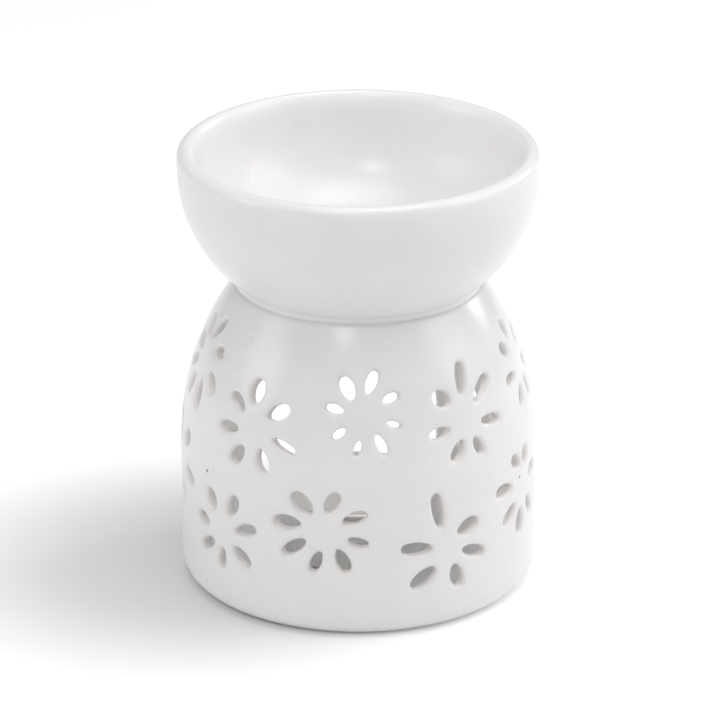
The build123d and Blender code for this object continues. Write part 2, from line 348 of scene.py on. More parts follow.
class WallFace:
    """One face of the dome's wall, by distance up the face from the start of its corner."""

    def __init__(self, radius, corner, base):
        self.radius = radius
        self.corner = corner
        self.base = base
        self.corner_length = corner * quarter_turn
        self.upright = shoulder_height - base - corner
        self.curve = radius - shoulder_middle

    def place(self, along):
        """Distance from the axis and height of the points that lie so far up the face."""
        turn = np.clip(np.asarray(along) / self.corner, 0, quarter_turn)
        straight = np.clip(along - self.corner_length, 0, self.upright)
        lean = np.maximum(along - self.corner_length - self.upright, 0) / self.curve
        out = self.radius - self.corner * (1 - np.sin(turn)) - self.curve * (1 - np.cos(lean))
        height = self.base + self.corner * (1 - np.cos(turn)) + straight + self.curve * np.sin(lean)
        return out, height

    def along(self, height):
        """How far up the face a height is."""
        below = np.clip(self.base + self.corner - height, 0, self.corner)
        straight = np.clip(height - self.base - self.corner, 0, self.upright)
        rise = np.clip((height - shoulder_height) / self.curve, 0, 1)
        round_it = self.corner * np.arccos(below / self.corner)
        return round_it + straight + self.curve * np.arcsin(rise)

    def points(self, direction, along):
        return round_axis(direction, *self.place(along))

    def distance(self, points):
        """How far points lie outside the face, which is exact near it."""
        out = np.hypot(points[:, 0], points[:, 1])
        height = points[:, 2]
        over = np.hypot(out - shoulder_middle, height - shoulder_height) - self.curve
        inwards = out - self.radius + self.corner
        under = np.hypot(inwards, height - self.base - self.corner) - self.corner
        beside = out - self.radius
        low = height < self.base + self.corner
        return np.where(height > shoulder_height, over, np.where(low, under, beside))


outer_face = WallFace(wall_radius, foot_round, base=0)
inner_face = WallFace(wall_radius - wall_thickness, floor_corner, base=floor_height)
print("outer face", round(float(outer_face.along(rim_height)) / mm, 1), "mm from foot to rim")

# %% [markdown]
# ## The blade's outlines
#
# Every petal is one push of a blade: a round tip, two bowed sides and a smaller round root.
# No two are alike, because the hand turns and tilts a little each time. The table
# holds what the hand did: where each petal lies in its flower, how long and wide it is and
# which way its tip points. An outline is made of arcs, and each point of it keeps the
# direction that it faces, so that the outline can be grown evenly for the rounded lip.

# %% Write down the petals
flower_radius = 10.0 * mm
upper_row_height = 55.0 * mm
lower_row_height = 25.0 * mm

# Each petal: place across and up from the middle of its flower, length and width, as
# shares of the flower's radius, and the way that its round tip points, in degrees.
slender_shares = (
    (-0.07, 0.78, 0.63, 0.26, 59),
    (0.44, 0.33, 0.48, 0.27, 8),
    (0.56, -0.40, 0.54, 0.28, -45),
    (0.09, -0.84, 0.66, 0.30, -86),
    (-0.50, -0.79, 0.56, 0.26, -112),
    (-0.84, -0.31, 0.50, 0.24, 205),
    (-0.83, 0.22, 0.52, 0.26, 160),
    (-0.64, 0.69, 0.52, 0.22, 115),
)
open_shares = (
    (-0.28, 0.80, 0.60, 0.38, 80),
    (0.42, 0.44, 0.61, 0.35, 32),
    (0.66, -0.32, 0.60, 0.21, -23),
    (0.13, -0.79, 0.57, 0.31, -71),
    (-0.60, -0.80, 0.57, 0.33, -127),
    (-0.97, -0.23, 0.60, 0.27, 189),
    (-0.81, 0.43, 0.54, 0.30, 145),
)
middle_shares = (
    (-0.44, 0.56, 0.58, 0.34, 114),
    (0.16, 0.70, 0.57, 0.27, 68),
    (0.61, 0.31, 0.39, 0.22, 20),
    (0.65, -0.31, 0.33, 0.15, -22),
    (0.34, -0.77, 0.53, 0.23, -64),
    (-0.19, -0.84, 0.36, 0.17, -105),
    (-0.61, -0.51, 0.37, 0.20, 221),
    (-0.73, 0.07, 0.43, 0.22, 166),
)
plume_shares = (
    (-0.55, 0.50, 0.48, 0.37, 143),
    (0.12, 0.85, 0.76, 0.26, 77),
    (0.70, 0.46, 0.76, 0.30, 39),
    (0.81, -0.33, 0.62, 0.24, -9),
    (0.32, -0.84, 0.50, 0.26, -64),
    (-0.28, -0.81, 0.54, 0.29, 233),
    (-0.72, -0.29, 0.50, 0.25, 190),
)
small_shares = (
    (-0.44, 0.43, 0.42, 0.30, 135),
    (0.09, 0.79, 0.45, 0.25, 92),
    (0.77, 0.43, 0.45, 0.26, 35),
    (0.74, -0.27, 0.48, 0.24, -18),
    (0.27, -0.76, 0.49, 0.23, -78),
    (-0.30, -0.80, 0.48, 0.24, -117),
    (-0.60, -0.25, 0.50, 0.22, 188),
)
tall_shares = (
    (-0.33, 0.80, 0.75, 0.30, 100),
    (0.40, 0.65, 0.54, 0.30, 50),
    (0.60, -0.24, 0.58, 0.30, -12),
    (0.02, -0.85, 0.56, 0.28, -80),
    (-0.64, -0.65, 0.54, 0.26, 227),
    (-0.88, 0.03, 0.52, 0.26, 175),
)
broad_shares = (
    (-0.50, 0.62, 0.52, 0.36, 110),
    (0.26, 0.68, 0.60, 0.31, 64),
    (0.67, 0.18, 0.64, 0.28, 19),
    (0.55, -0.53, 0.59, 0.32, -36),
    (-0.12, -0.77, 0.53, 0.25, -98),
    (-0.70, -0.58, 0.63, 0.27, 212),
    (-0.88, 0.00, 0.50, 0.30, 178),
)
full_shares = (
    (-0.51, 0.58, 0.66, 0.40, 132),
    (0.21, 0.66, 0.57, 0.32, 62),
    (0.74, 0.29, 0.60, 0.30, 24),
    (0.82, -0.32, 0.49, 0.24, -16),
    (0.46, -0.80, 0.62, 0.32, -68),
    (-0.18, -0.86, 0.56, 0.26, -111),
    (-0.72, -0.54, 0.68, 0.30, 217),
    (-0.90, 0.05, 0.67, 0.36, 180),
)
windmill_shares = (
    (-0.19, 0.97, 0.90, 0.28, 100),
    (0.65, 0.39, 0.61, 0.37, 20),
    (0.83, -0.28, 0.68, 0.28, -20),
    (0.34, -0.79, 0.60, 0.35, -73),
    (-0.55, -0.68, 0.73, 0.37, 216),
    (-0.73, 0.08, 0.75, 0.33, 176),
)
heart_shares = (
    (-0.16, 0.70, 0.47, 0.28, 141),
    (0.32, 0.71, 0.42, 0.25, 85),
    (0.86, 0.15, 0.50, 0.28, 10),
    (0.68, -0.68, 0.56, 0.28, -53),
    (0.06, -0.89, 0.62, 0.32, -98),
    (-0.46, -0.55, 0.60, 0.28, 217),
    (-0.70, 0.16, 0.60, 0.29, 178),
)

# Each flower: direction round the dome from the front towards +X, its height above its
# row as a share of the flower's radius, and its petals.
upper_flower_shares = (
    (-149, 0.10, small_shares),
    (-114, -0.10, plume_shares),
    (-76.5, 0.36, slender_shares),
    (-40, -0.51, open_shares),
    (-3.2, 0.09, middle_shares),
    (32.5, -0.27, plume_shares),
    (70.4, 0.21, small_shares),
    (107, -0.30, open_shares),
    (145, 0.15, slender_shares),
)
lower_flower_shares = (
    (-121, -0.25, broad_shares),
    (-84.9, 0.65, tall_shares),
    (-53.8, -0.34, broad_shares),
    (-16.9, 0.27, full_shares),
    (23, -0.40, windmill_shares),
    (58.2, 0.34, heart_shares),
    (92, -0.30, full_shares),
    (126, 0.00, broad_shares),
)
flower_rows = (
    (upper_row_height, upper_flower_shares),
    (lower_row_height, lower_flower_shares),
)
print("petals", sum(len(flower[2]) for row in flower_rows for flower in row[1]))

# %% Draw one outline
petal_tip_share = 0.8
petal_root_share = 0.5
tip_steps = 10
side_steps = 9
root_steps = 6


def arc(middle, radius, first, last, steps):
    """Points along an arc but its last, and the directions that they face."""
    angle = np.linspace(first, last, steps, endpoint=False)
    facing = np.stack((np.cos(angle), np.sin(angle)), -1)
    return np.asarray(middle) + radius * facing, facing


def joined(pieces):
    """Points and facings of an outline that is made of pieces."""
    points, facings = zip(*pieces)
    return np.concatenate(points), np.concatenate(facings)


def petal_outline(length, width):
    """Outline of a petal with its tip towards +X, anticlockwise, and its facings."""
    half = width / 2
    tip = petal_tip_share * half
    root = petal_root_share * half
    between = length - tip - root
    taper = tip - root
    tip_middle = length / 2 - tip
    root_middle = root - length / 2
    # The sides' radius is the one whose arc touches both rounds and is as far out as half
    # the width.
    reach = between * math.sqrt(half - root) - math.sqrt((half - tip) * (between**2 - taper**2))
    stretch = reach / taper
    bow = (stretch**2 + root + half) / 2
    widest = root_middle + stretch * math.sqrt(half - root)
    top = math.atan2(bow - half, tip_middle - widest)
    end = math.atan2(bow - half, root_middle - widest)
    pieces = (
        arc((tip_middle, 0), tip, -top, top, tip_steps),
        arc((widest, half - bow), bow, top, end, side_steps),
        arc((root_middle, 0), root, end, 2 * math.pi - end, root_steps),
        arc((widest, bow - half), bow, -end, -top, side_steps),
    )
    return joined(pieces)


print("a petal has", len(petal_outline(length=6 * mm, width=3 * mm)[0]), "points")

# %% [markdown]
# ## From outlines to cuts
#
# A cut is an outline on a flat board that touches the dome, pushed straight through the
# wall. The petals' boards lie square to the wall at each petal's middle. The doorway's
# board stands upright behind the burner. Keeping both as the same kind of thing means that
# one routine can pierce the wall with all of them.

# %% Describe a cut
reach_share = 1.5
touching_step = 0.02 * mm
touching_rounds = 30
least_slope = 0.2


class Cut:
    """An outline on a board, pushed through the wall against the board's facing."""

    def __init__(self, middle, across, up, outline, facings):
        self.middle = np.array(middle)
        self.across = np.array(across)
        self.up = np.array(up)
        self.out = np.cross(self.across, self.up)
        self.outline = outline
        self.facings = facings
        self.reach = np.abs(outline).max() * reach_share

    def on_board(self, points):
        """Where points fall on the board, looking straight through the wall."""
        offset = points - self.middle
        return np.stack((offset @ self.across, offset @ self.up), -1)

    def near(self, points, margin):
        """Which points may lie within a margin of the cut."""
        return np.linalg.norm(points - self.middle, axis=1) < self.reach + margin

    def gap(self, flat):
        """Distance of points on the board from the outline, less than 0 inside it."""
        start = self.outline
        step = np.roll(start, -1, axis=0) - start
        offset = flat[:, None] - start[None]
        share = np.clip((offset * step).sum(-1) / (step * step).sum(-1), 0, 1)
        apart = np.linalg.norm(offset - share[..., None] * step, axis=-1).min(1)
        side = step[:, 0] * offset[..., 1] - step[:, 1] * offset[..., 0]
        return np.where((side > 0).all(1), -apart, apart)

    def meet(self, face, flat):
        """Where lines through the wall from points on the board meet a face."""
        points = self.middle + flat[:, :1] * self.across + flat[:, 1:] * self.up
        for touch in range(touching_rounds):
            ahead = face.distance(points)
            slope = (face.distance(points + self.out * touching_step) - ahead) / touching_step
            points = points - (ahead / np.maximum(slope, least_slope))[:, None] * self.out
        return points


# %% Set out the petals
def climbed(height, distance):
    """Height after going up the dome's outside by a distance along its surface."""
    return outer_face.place(outer_face.along(height) + distance)[1]


def petal_cut(direction, height, petal_shares):
    across, up, length, width, points_to = petal_shares
    out = outer_face.place(outer_face.along(height))[0]
    turn = math.radians(direction) + flower_radius * across / out
    height = climbed(height, flower_radius * up)
    lean = math.asin(max(height - shoulder_height, 0) / shoulder_radius)
    middle = outer_face.points(turn, outer_face.along(height))
    sideways = (math.cos(turn), math.sin(turn), 0)
    over = math.sin(lean)
    upwards = (-math.sin(turn) * over, math.cos(turn) * over, math.cos(lean))
    outline, facings = petal_outline(flower_radius * length, flower_radius * width)
    swing = math.radians(points_to)
    turned = np.array(((math.cos(swing), math.sin(swing)), (-math.sin(swing), math.cos(swing))))
    return Cut(middle, sideways, upwards, outline @ turned, facings @ turned)


petal_cuts = []
for row_height, flowers in flower_rows:
    for flower_direction, lift, petals in flowers:
        flower_height = row_height + flower_radius * lift
        petal_cuts += [petal_cut(flower_direction, flower_height, petal) for petal in petals]
print("petals set out", len(petal_cuts))

# %% Set out the doorway
door_width = 45.6 * mm
door_top = 49.0 * mm
door_corner = 1.0 * mm
door_step = 1.2 * mm
sill_rise = 0.03 * mm


def edge(start, end, facing, step):
    """Points along a straight edge but its last, and the direction that it faces."""
    count = max(round(math.dist(start, end) / step), 1)
    share = np.linspace(0, 1, count, endpoint=False)[:, None]
    points = np.asarray(start) * (1 - share) + np.asarray(end) * share
    return points, np.tile(facing, (count, 1))


def doorway_cut():
    half = door_width / 2
    spring = door_top - half
    sill = floor_height + sill_rise
    inset = half - door_corner
    steps = round(math.pi * half / door_step)
    # Seen from behind the burner, so +X is on the left of the board.
    pieces = (
        edge((-inset, sill), (inset, sill), (0, -1), door_step),
        arc((inset, sill + door_corner), door_corner, -quarter_turn, 0, root_steps),
        edge((half, sill + door_corner), (half, spring), (1, 0), door_step),
        arc((0, spring), half, 0, math.pi, steps),
        edge((-half, spring), (-half, sill + door_corner), (-1, 0), door_step),
        arc((-inset, sill + door_corner), door_corner, math.pi, 1.5 * math.pi, root_steps),
    )
    outline, facings = joined(pieces)
    middle = np.array((0, spring))
    return Cut((0, wall_radius, spring), (-1, 0, 0), (0, 0, 1), outline - middle, facings)


doorway = doorway_cut()
cuts = [doorway, *petal_cuts]
print("cuts", len(cuts))

# %% [markdown]
# ## A pierced face without a seam
#
# A mesh with 123 holes could come from boolean cuts, but those leave long thin triangles
# that spoil the sheen, and a bevel on them breaks down where two petals lie close. Here
# the face is laid flat instead, like the skin of an orange pressed on a table with the rim
# in the middle, and a Delaunay triangulation fills it from points that we choose: rings
# that follow each lip, and an even scatter between the flowers.

# %% Lay a face flat
far_from_cut = 4 * mm


def laid_flat(direction, along):
    """Place on the flat sheet, on which small shapes keep their angles."""
    out = np.exp(-along / wall_radius)
    return np.stack((out * np.sin(direction), out * np.cos(direction)), -1)


def lifted(flat):
    """Direction and distance up the face of places on the flat sheet."""
    out = np.hypot(flat[:, 0], flat[:, 1])
    return np.arctan2(flat[:, 0], flat[:, 1]), -wall_radius * np.log(out)


def gap_to_cuts(points, own=None):
    """Distance of each point to the nearest cut, less than 0 inside one."""
    gaps = np.full(len(points), far_from_cut)
    for cut in cuts:
        if cut is own:
            continue
        close = cut.near(points, far_from_cut)
        if close.any():
            gaps[close] = np.minimum(gaps[close], cut.gap(cut.on_board(points[close])))
    return gaps


class Lip:
    """A rounded edge: how far it reaches over the face and down into the cut."""

    def __init__(self, width, depth, steps):
        angle = np.linspace(0, quarter_turn, steps + 1)
        self.width = width
        self.spreads = width * (1 - np.cos(angle))
        self.sinks = depth * (1 - np.sin(angle))


# %% Triangulate one face
around = 180
ring_shift = 0.5
least_gap = 0.12 * mm
past_lip_share = 1.8
clear_of_lip_share = 0.6
start_margin = 0.01 * mm
all_triangles = 0
same_place = 1e-9


class PiercedFace:
    """Triangles of one face of the wall, with every cut open and its lip rounded."""

    def __init__(self, face, lip, start, grid, inwards):
        self.face = face
        self.lip = lip
        self.inwards = inwards
        self.flat = []
        self.points = []
        self.gaps = []
        self.owners = []
        self.edges = []
        end = float(face.along(rim_height))
        self.first_circle = self.add_circle(start)
        self.last_circle = self.add_circle(end)
        self.add_scatter(start, end, grid)
        for number, cut in enumerate(cuts):
            self.add_rings(number, cut, start)
        self.fill(end)

    def add(self, points, gaps, owners):
        """Takes in points, each with its distance from a cut and its place on a cut's edge."""
        first = len(self.owners)
        self.points.append(points)
        self.gaps.append(gaps)
        self.owners += owners
        return np.arange(first, len(self.owners))

    def add_on_face(self, direction, along, gaps):
        """Takes in points that lie on the face and on no edge."""
        self.flat.append(laid_flat(direction, along))
        return self.add(self.face.points(direction, along), gaps, [None] * len(direction))

    def add_circle(self, along):
        direction = np.linspace(0, 2 * math.pi, around, endpoint=False)
        along = np.full(around, along)
        gaps = gap_to_cuts(self.face.points(direction, along))
        made = self.add_on_face(direction, along, gaps)
        self.edges += list(zip(made.tolist(), np.roll(made, -1).tolist()))
        return made

    def add_scatter(self, start, end, grid):
        """Even rows of points that keep clear of every lip."""
        rows = round((end - start) / grid)
        for row in range(1, rows):
            along = start + (end - start) * row / rows
            out = self.face.place(along)[0]
            count = round(2 * math.pi * out / grid)
            direction = (np.arange(count) + ring_shift * (row % 2)) * 2 * math.pi / count
            alongs = np.full(count, along)
            gaps = gap_to_cuts(self.face.points(direction, alongs))
            clear = gaps > self.lip.width + grid * clear_of_lip_share
            self.add_on_face(direction[clear], alongs[clear], gaps[clear])

    def add_rings(self, number, cut, start):
        """Rings round a cut, from its wall to just past its lip."""
        spreads = list(self.lip.spreads) + [self.lip.width * past_lip_share]
        sinks = list(self.lip.sinks) + [0]
        for ring, (spread, sink) in enumerate(zip(spreads, sinks)):
            grown = cut.outline + cut.facings * spread
            places = cut.meet(self.face, grown)
            others = gap_to_cuts(places, own=cut)
            heights = grown[:, 1] + cut.middle[2] if cut is doorway else places[:, 2]
            low = self.face.place(start)[1] + start_margin
            keep = others > (spread + least_gap if ring else 0)
            keep &= (heights > low) & (heights < rim_height)
            direction = np.arctan2(places[:, 0], -places[:, 1])
            self.flat.append(laid_flat(direction, self.face.along(places[:, 2]))[keep])
            shifted = places - cut.out * sink * self.inwards
            kept = np.nonzero(keep)[0].tolist()
            owners = [None if ring else (number, point) for point in kept]
            made = self.add(shifted[keep], np.full(len(kept), spread), owners)
            names = dict(zip(kept, made.tolist()))
            for point in names:
                after = (point + 1) % len(grown)
                if after in names:
                    self.edges.append((names[point], names[after]))

    def fill(self, end):
        """Triangulates the sheet and drops what lies in a cut or past the rim."""
        flat = [Vector(place) for place in np.concatenate(self.flat)]
        made = delaunay_2d_cdt(flat, self.edges, [], all_triangles, same_place)
        places = np.array([tuple(place) for place in made[0]])
        corners, sources = np.array(made[2]), made[3]
        direction, along = lifted(places)
        points = self.face.points(direction, along)
        gaps = gap_to_cuts(points)
        given_points = np.concatenate(self.points)
        given_gaps = np.concatenate(self.gaps)
        self.places = {source[0]: spot for spot, source in enumerate(sources) if source}
        self.new_owners = [None] * len(places)
        for given, spot in self.places.items():
            points[spot] = given_points[given]
            gaps[spot] = given_gaps[given]
            self.new_owners[spot] = self.owners[given]
        middle_direction, middle_along = lifted(places[corners].mean(1))
        inside = gap_to_cuts(self.face.points(middle_direction, middle_along)) < 0
        self.corners = corners[~(inside | (middle_along > end))]
        self.mesh_points, self.mesh_gaps = points, gaps
        crossings = len(places) - len(self.places)
        print("face with", len(self.corners), "triangles and", crossings, "crossings")


# %% Pierce both faces
outer_lip = Lip(width=1.0 * mm, depth=0.95 * mm, steps=5)
inner_lip = Lip(width=0.8 * mm, depth=0.8 * mm, steps=3)
outer_start, inner_start = 3.0 * mm, 0.0
outer_grid, inner_grid = 1.9 * mm, 2.6 * mm
outer_skin = PiercedFace(outer_face, outer_lip, outer_start, outer_grid, inwards=1)
inner_skin = PiercedFace(inner_face, inner_lip, inner_start, inner_grid, inwards=-1)

# %% [markdown]
# ## The dome as one casting
#
# Outside, inside, foot, floor and rim are one piece of clay, so they become one closed
# mesh. The two pierced faces already share the names of the points on each cut's edge.
# Following those edges round gives matching loops, and bridging them makes the walls of
# the cuts. The foot ring, the floor and the rim are turned, as on a potter's wheel.

# %% Collect clay into a mesh
weld_gap = 0.0005 * mm


class Clay:
    """Points and faces of one piece, with each point's distance from the nearest cut."""

    def __init__(self, shape=None):
        self.shape = shape
        self.points = []
        self.gaps = []
        self.faces = []
        self.count = 0

    def add(self, points, gaps):
        first = self.count
        self.points.append(np.asarray(points))
        self.gaps.append(np.broadcast_to(gaps, len(points)))
        self.count += len(points)
        return np.arange(first, self.count)

    def ring(self, out, height, count):
        """A turned ring of points, pressed into shape if the piece isn't round."""
        direction = np.linspace(0, 2 * math.pi, count, endpoint=False)
        out, height = np.full(count, out), np.full(count, height)
        if self.shape:
            out, height = self.shape(direction, out, height)
        return self.add(round_axis(direction, out, height), far_from_cut)

    def bridge(self, first, second):
        """Quads between two closed loops of as many points."""
        after, behind = np.roll(first, -1), np.roll(second, -1)
        self.faces += np.stack((first, after, behind, second), -1).tolist()

    def fan(self, loop, point):
        """Triangles between a closed loop and one point."""
        tip = np.broadcast_to(point, len(loop))
        self.faces += np.stack((loop, np.roll(loop, -1), tip), -1).tolist()

    def turn(self, loop, outline):
        """Turned rings that carry a loop on along an outline, to the axis if it ends there."""
        for out, height in outline:
            if out == 0:
                self.fan(loop, self.add(np.array(((0, 0, height),)), far_from_cut))
                continue
            made = self.ring(out, height, len(loop))
            self.bridge(loop, made)
            loop = made
        return loop

    def turn_whole(self, outline, count):
        """A whole turned piece, from an outline that starts and ends on the axis or is a ring."""
        on_axis = outline[0][0] == 0
        first = self.ring(*outline[1 if on_axis else 0], count)
        last = self.turn(first, outline[2 if on_axis else 1 :])
        if on_axis:
            self.turn(first, outline[:1])
        else:
            self.bridge(last, first)

    def piece(self, name, finish):
        """Object made of the clay, smooth, with its faces looking outwards."""
        mesh = bpy.data.meshes.new(name)
        mesh.from_pydata(np.concatenate(self.points).tolist(), [], self.faces)
        gaps = mesh.attributes.new("from_cut", "FLOAT", "POINT")
        gaps.data.foreach_set("value", (np.concatenate(self.gaps) / mm).astype(np.float32))
        form = bmesh.new()
        form.from_mesh(mesh)
        bmesh.ops.remove_doubles(form, verts=form.verts, dist=weld_gap)
        bmesh.ops.recalc_face_normals(form, faces=form.faces)
        loose = sum(1 for edge in form.edges if len(edge.link_faces) != 2)
        form.to_mesh(mesh)
        form.free()
        mesh.polygons.foreach_set("use_smooth", [True] * len(mesh.polygons))
        mesh.materials.append(finish)
        made = bpy.data.objects.new(name, mesh)
        scene.collection.objects.link(made)
        print(name, len(mesh.vertices), "points,", loose, "edges left open")
        return made


# %% Follow the edges of the cuts
def cut_edges(skin):
    """For each cut, the loop of points round its opening in order, by the points' names."""
    corners = skin.corners
    edges = np.concatenate((corners[:, (0, 1)], corners[:, (1, 2)], corners[:, (2, 0)]))
    known = {tuple(edge) for edge in edges.tolist()}
    following = {first: second for first, second in known if (second, first) not in known}
    loops = {}
    while following:
        first, spot = following.popitem()
        loop = [first]
        while spot in following:
            loop.append(spot)
            spot = following.pop(spot)
        named = [skin.new_owners[spot] for spot in loop if skin.new_owners[spot]]
        if named:
            loops[min(named)[0]] = loop
    return loops


# %% Close the dome
support = 0.28 * mm
foot_edge = 0.5 * mm


def rounded_corner(middle, radius, first, last, steps=4, rise=None):
    """Points of an outline round a corner, both ends among them, or round an oval one."""
    rise = rise or radius
    out, height = middle
    angle = np.radians(np.linspace(first, last, steps + 1))
    return [(out + radius * math.cos(turn), height + rise * math.sin(turn)) for turn in angle]


def flat_steps(radius, height, shares):
    """Points along a flat stretch of an outline, as shares of its radius."""
    return [(radius * share, height) for share in shares]


def cut_walls(clay, outer_ids, inner_ids):
    """Bridges the outer and the inner edge of every cut, with a support loop near each."""
    outer_loops, inner_loops = cut_edges(outer_skin), cut_edges(inner_skin)
    for number, outer_loop in outer_loops.items():
        inner_loop = inner_loops[number]
        start = next(spot for spot in outer_loop if outer_skin.new_owners[spot])
        outer_loop = np.roll(outer_loop, -outer_loop.index(start))
        names = [inner_skin.new_owners[spot] for spot in inner_loop]
        inner_loop = np.roll(inner_loop, -names.index(outer_skin.new_owners[start]))
        inset = cuts[number].out * support
        high = clay.add(outer_skin.mesh_points[outer_loop] - inset, 0)
        low = clay.add(inner_skin.mesh_points[inner_loop] + inset, 0)
        clay.bridge(outer_ids[outer_loop], high)
        clay.bridge(high, low)
        clay.bridge(low, inner_ids[inner_loop])
    return len(outer_loops)


def circle_ids(skin, ids, circle):
    return ids[[skin.places[int(spot)] for spot in circle]]


def build_dome():
    clay = Clay()
    outer_ids = clay.add(outer_skin.mesh_points, outer_skin.mesh_gaps)
    inner_ids = clay.add(inner_skin.mesh_points, inner_skin.mesh_gaps)
    clay.faces += outer_ids[outer_skin.corners].tolist() + inner_ids[inner_skin.corners].tolist()
    print("cuts walled", cut_walls(clay, outer_ids, inner_ids))
    outer_rim = circle_ids(outer_skin, outer_ids, outer_skin.last_circle)
    inner_rim = circle_ids(inner_skin, inner_ids, inner_skin.last_circle)
    clay.bridge(outer_rim, inner_rim)
    foot = circle_ids(outer_skin, outer_ids, outer_skin.first_circle)
    foot_radius = wall_radius - foot_round
    ring_radius = foot_radius - foot_ring_width
    recess = ring_radius - foot_recess
    round_under = [outer_face.place(outer_start * share) for share in (0.75, 0.5, 0.25, 0.0)]
    outline = [(float(out), float(height)) for out, height in round_under]
    outline += [(foot_radius - foot_ring_width / 2, 0)]
    outline += rounded_corner((ring_radius + foot_edge, foot_edge), foot_edge, -90, -135)
    outline += [(recess + foot_edge, foot_recess - foot_edge / 2)]
    outline += [(recess - foot_edge, foot_recess)]
    outline += flat_steps(recess, foot_recess, (0.8, 0.6, 0.4, 0.2, 0.0))
    clay.turn(foot, outline)
    floor = circle_ids(inner_skin, inner_ids, inner_skin.first_circle)
    floor_radius = wall_radius - wall_thickness - floor_corner
    clay.turn(floor, flat_steps(floor_radius, floor_height, (0.9, 0.75, 0.6, 0.4, 0.2, 0.0)))
    return clay.piece("dome", dome_glaze)


dome = build_dome()
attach(dome, "burner")
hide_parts("pierced_dome")

# %% [markdown]
# ## The bowl
#
# The bowl is turned from one outline: a flat base that hides in the joint, a round side, a
# thick lip that the glaze has rounded more inside than outside, and a round hollow. A
# Screw modifier could turn it, but the same turning code as the dome's foot lays its rings
# close on the lip and wide on the sides, and gives each point the distance from a cut that
# the glaze reads.

# %% Turn the bowl
bowl_low, bowl_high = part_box("oil_bowl")
bowl_radius = bowl_high.x
bowl_base_height = bowl_low.z
bowl_height = bowl_high.z
lip_height = 4.6 * mm
bowl_floor = 4.8 * mm
bowl_widest_height = bowl_height - lip_height
lip_thickness = 4.2 * mm
lip_outer_round = 2.2 * mm
lip_inner_drop = 4.6 * mm
hollow_curve = 20.5 * mm
hollow_floor_height = bowl_base_height + bowl_floor
bowl_curve = upright_curve(bowl_radius - waist_radius, bowl_widest_height - bowl_base_height)
bowl_middle = bowl_radius - bowl_curve
bowl_around = 256


def bowl_outline():
    """Outline of the bowl from its base out, up, over the lip and down the hollow."""
    low = bowl_base_height - bowl_widest_height
    first = math.degrees(math.asin(low / bowl_curve))
    inner_round = lip_thickness - lip_outer_round
    crest = bowl_radius - lip_outer_round
    hollow_radius = bowl_radius - lip_thickness
    hollow_middle = hollow_radius - hollow_curve
    hollow_turn = hollow_floor_height + hollow_curve
    outline = flat_steps(waist_radius, bowl_base_height, (0.0, 0.5))
    outline += rounded_corner((bowl_middle, bowl_widest_height), bowl_curve, first, 0, 28)
    outline += rounded_corner((crest, bowl_height - lip_outer_round), lip_outer_round, 0, 90, 6)
    lip_foot = (crest, bowl_height - lip_inner_drop)
    outline += rounded_corner(lip_foot, inner_round, 90, 180, 10, lip_inner_drop)[1:]
    outline += rounded_corner((hollow_middle, hollow_turn), hollow_curve, 0, -90, 26)
    return outline + flat_steps(hollow_middle, hollow_floor_height, (0.75, 0.5, 0.25, 0.0))


def turned_piece(name, outline, count, finish, shape=None):
    """A whole turned piece in one finish, pressed into shape if it isn't round."""
    clay = Clay(shape)
    clay.turn_whole(outline, count)
    return clay.piece(name, finish)


bowl = turned_piece("bowl", bowl_outline(), bowl_around, bowl_glaze)
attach(bowl, "burner")
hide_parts("oil_bowl")

# %% [markdown]
# ## The slip in the joint
#
# The bowl is stuck on with slip, and a wet finger run round the joint leaves a small hollow
# fillet. It is a ring of its own in the solids, so it stays one here, with its two edges
# sunk a hair into the dome and the bowl so that the glaze seems to run over all three.

# %% Turn the slip
slip_bead = 0.9 * mm
slip_inset = 0.4 * mm
slip_sink = 0.04 * mm
fillet_pull_share = 0.5
fillet_steps = 10


def sunk(middle, radius, turn):
    """Place a hair under a round side, by its turn about the side's middle."""
    reach = radius - slip_sink
    return np.array((middle[0] + reach * math.cos(turn), middle[1] + reach * math.sin(turn)))


def slip_outline():
    up = math.asin((bowl_base_height - bowl_widest_height) / bowl_curve) + slip_bead / bowl_curve
    upper = sunk((bowl_middle, bowl_widest_height), bowl_curve, up)
    down = math.asin((rim_height - shoulder_height) / shoulder_radius)
    down -= slip_bead / shoulder_radius
    lower = sunk((shoulder_middle, shoulder_height), shoulder_radius, down)
    corner = np.array((waist_radius, (rim_height + bowl_base_height) / 2))
    chord = (upper + lower) / 2
    pulled = chord + (corner - chord) * fillet_pull_share
    control = 2 * pulled - chord
    outline = []
    for share in np.linspace(0, 1, fillet_steps + 1):
        rest = 1 - share
        outline.append(tuple(upper * rest**2 + control * 2 * share * rest + lower * share**2))
    inner = float(inner_face.place(inner_face.along(rim_height))[0]) + slip_inset
    hidden = waist_radius - slip_bead
    outline += [(hidden, rim_height), (inner, rim_height), (inner, bowl_base_height)]
    return outline + [(hidden, bowl_base_height)]


slip = turned_piece("slip", slip_outline(), bowl_around, slip_glaze)
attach(slip, "burner")
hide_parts("slip_joint")

# %% [markdown]
# ## Metal, wax and cotton
#
# The tealight is three small stories in material. The cup is foil that was rolled thin and
# then drawn into shape, so it is bright with fine streaks up its wall. The wax lets light in
# a little way, which makes it look soft: subsurface scattering does that, and one constant
# on the shader is enough because the wax is the same all through. The cotton is matt, and
# its fibres run along the strands.

# %% Mix the metals' finishes
foil_bright = colour(0.95, 0.948, 0.945)
foil_dull = colour(0.89, 0.89, 0.89)
tin_bright = colour(0.64, 0.65, 0.66)
tin_dull = colour(0.55, 0.56, 0.57)


